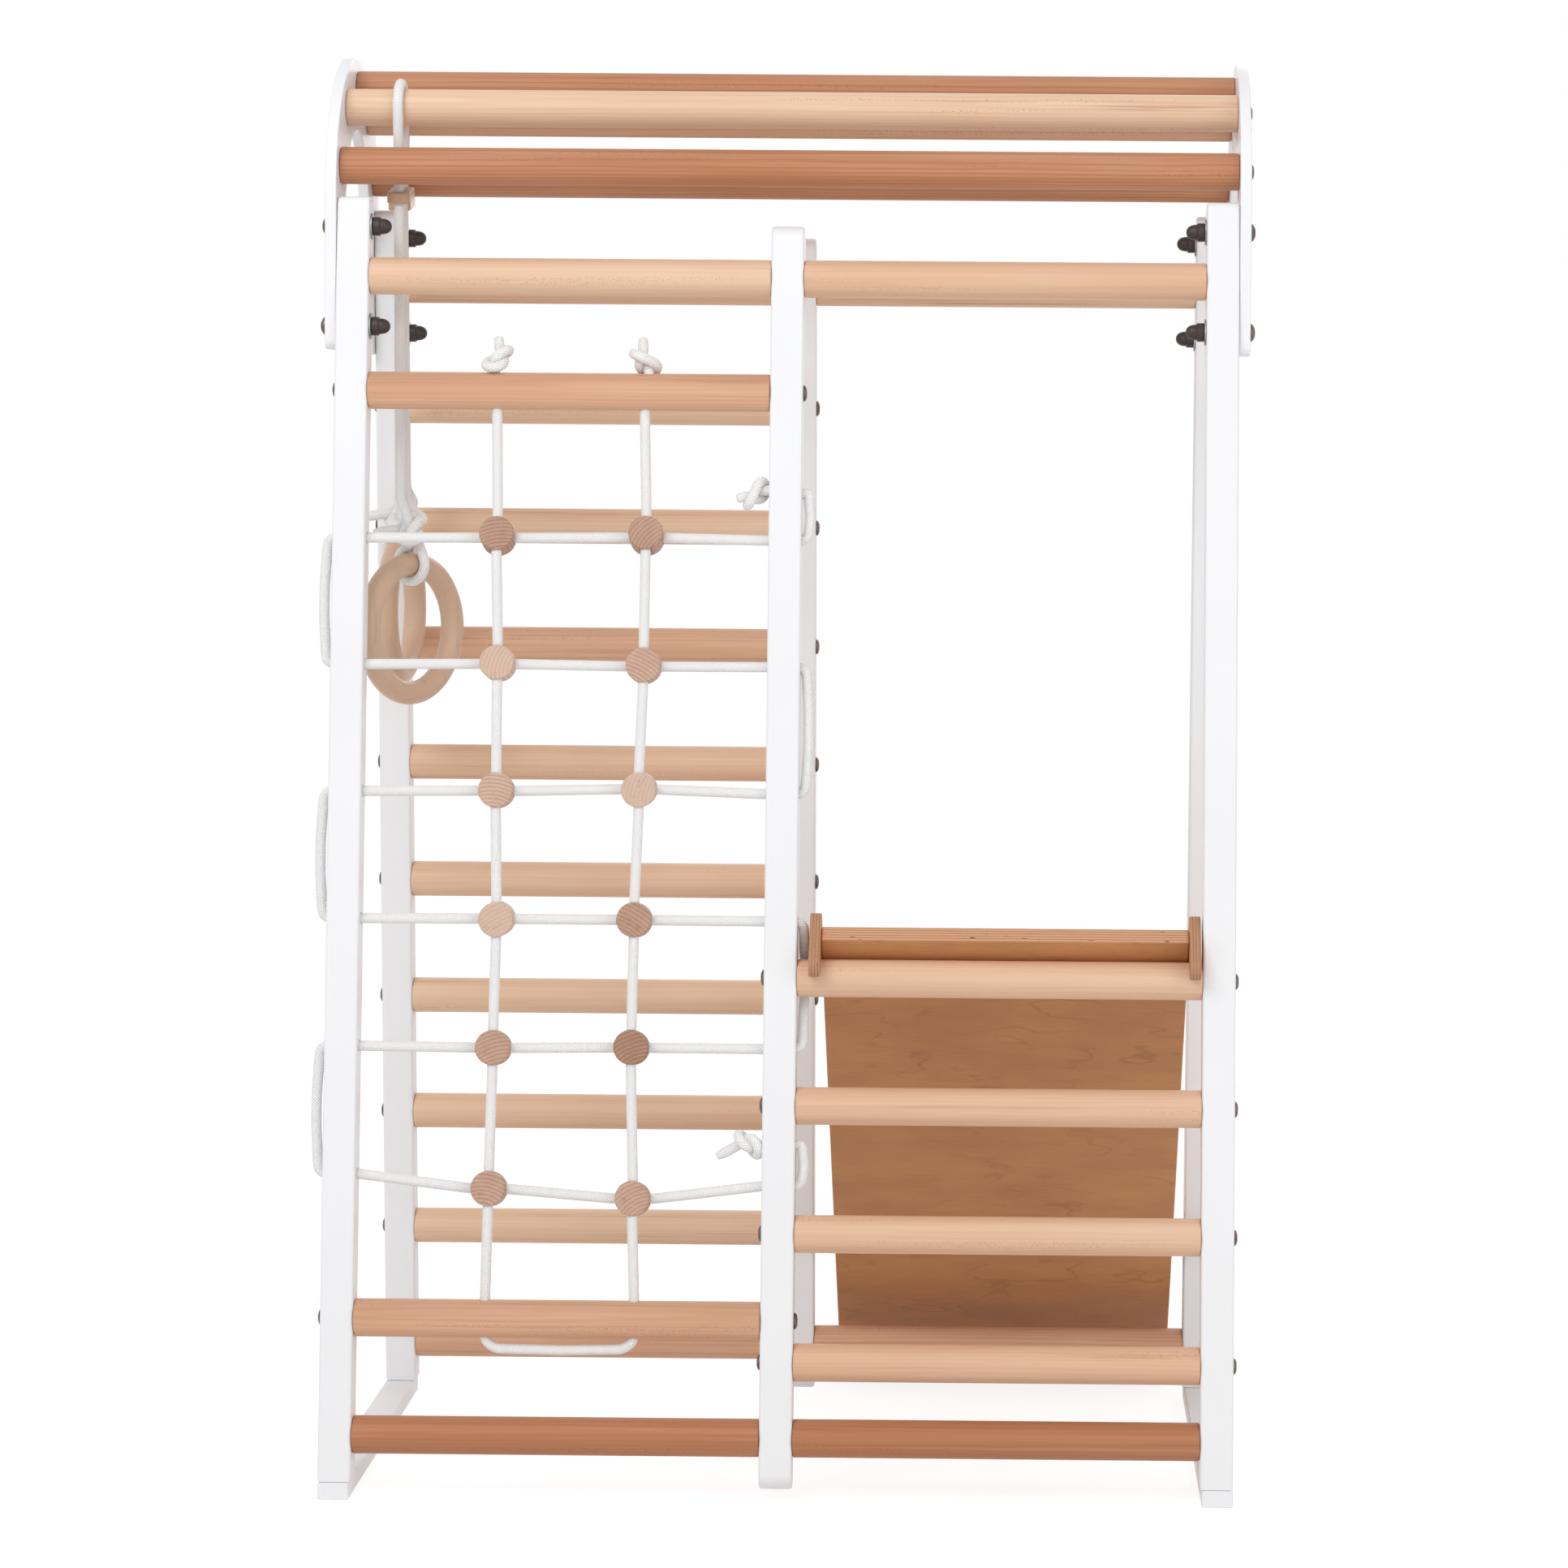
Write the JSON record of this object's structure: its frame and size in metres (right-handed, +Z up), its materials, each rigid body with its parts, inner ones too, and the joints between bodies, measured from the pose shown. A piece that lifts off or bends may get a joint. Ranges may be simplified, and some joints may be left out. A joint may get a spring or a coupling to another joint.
{
  "type": "indoor climbing frame",
  "caption": "Indoor wooden climbing frame with leaning white posts, beech rungs, a rope net with wooden discs, wall bars, hanging rings and a hook-on slide.",
  "frame": {"origin": "on the floor, under the middle of the bounding box of the frame with its slide", "axes": "+Z up, +X to the right as seen from the side with the net and the ladder, +Y towards the foot of the slide"},
  "size_m": [0.9996, 0.6814, 1.5355],
  "materials": {
    "white_wood": "white paint, satin",
    "beech": "clear varnish",
    "red_beech": "clear varnish over reddish steamed beech",
    "pale_beech": "clear varnish",
    "beech_ply": "clear varnish on plywood",
    "rope": "braided white cord"
  },
  "bodies": {
    "frame": {"front_post_left": "white_wood", "front_post_centre": "white_wood", "front_post_right": "white_wood", "rear_post_left": "white_wood", "rear_post_centre": "white_wood", "rear_post_right": "white_wood", "base_runner_left": "white_wood", "base_runner_right": "white_wood", "arch_plate_left": "white_wood", "arch_plate_right": "white_wood", "front_top_rungs": "beech", "rear_top_rungs": "beech", "net_top_rung": "beech", "net_low_rung": "beech", "ladder_rung_1": "beech", "ladder_rung_2": "beech", "ladder_rung_3": "beech", "ladder_rung_4": "beech", "wall_bar_1": "beech", "wall_bar_2": "beech", "wall_bar_3": "beech", "wall_bar_4": "beech", "wall_bar_5": "beech", "wall_bar_6": "beech", "wall_bar_7": "beech", "wall_bar_8": "beech", "front_low_rungs": "red_beech", "rear_low_rungs": "red_beech", "arch_rung_1": "red_beech", "arch_rung_2": "red_beech", "arch_rung_3": "red_beech", "arch_rung_4": "red_beech", "arch_rung_5": "red_beech", "net_level_rope": "rope", "net_upright_rope": "rope", "net_disc_1_1": "pale_beech", "net_disc_1_2": "pale_beech", "net_disc_1_3": "pale_beech", "net_disc_1_4": "pale_beech", "net_disc_1_5": "pale_beech", "net_disc_1_6": "pale_beech", "net_disc_2_1": "pale_beech", "net_disc_2_2": "pale_beech", "net_disc_2_3": "pale_beech", "net_disc_2_4": "pale_beech", "net_disc_2_5": "pale_beech", "net_disc_2_6": "pale_beech"},
    "slide": {"slide_bed": "beech_ply", "slide_side_rail_left": "beech_ply", "slide_side_rail_right": "beech_ply", "slide_hook_left": "beech_ply", "slide_hook_right": "beech_ply"},
    "front_ring_rope": {"ring_rope_front": "rope", "ring_adjuster_front": "pale_beech"},
    "front_ring": {"ring_front": "pale_beech"},
    "rear_ring_rope": {"ring_rope_rear": "rope", "ring_adjuster_rear": "pale_beech"},
    "rear_ring": {"ring_rear": "pale_beech"}
  },
  "joints": [
    {"name": "slide_tilt", "type": "hinge", "parent": "frame", "child": "slide", "pos_m": [0.238, -0.27671, 0.5484], "axis": [1, 0, 0], "range_deg": [0, 30]},
    {"name": "front_ring_swing", "type": "hinge", "parent": "frame", "child": "front_ring_rope", "pos_m": [-0.425, -0.14409, 1.503], "axis": [0, -1, 0], "range_deg": [-12, 25]},
    {"name": "front_ring_tilt", "type": "hinge", "parent": "front_ring_rope", "child": "front_ring", "pos_m": [-0.413, -0.14409, 0.9815], "axis": [0.6428, 0.766, 0], "range_deg": [-8, 8]},
    {"name": "rear_ring_swing", "type": "hinge", "parent": "frame", "child": "rear_ring_rope", "pos_m": [-0.445, 0.00671, 1.503], "axis": [0, -1, 0], "range_deg": [0, 15]},
    {"name": "rear_ring_tilt", "type": "hinge", "parent": "rear_ring_rope", "child": "rear_ring", "pos_m": [-0.444, 0.00671, 0.9965], "axis": [-0.2419, -0.9703, 0], "range_deg": [-4, 8]}
  ]
}
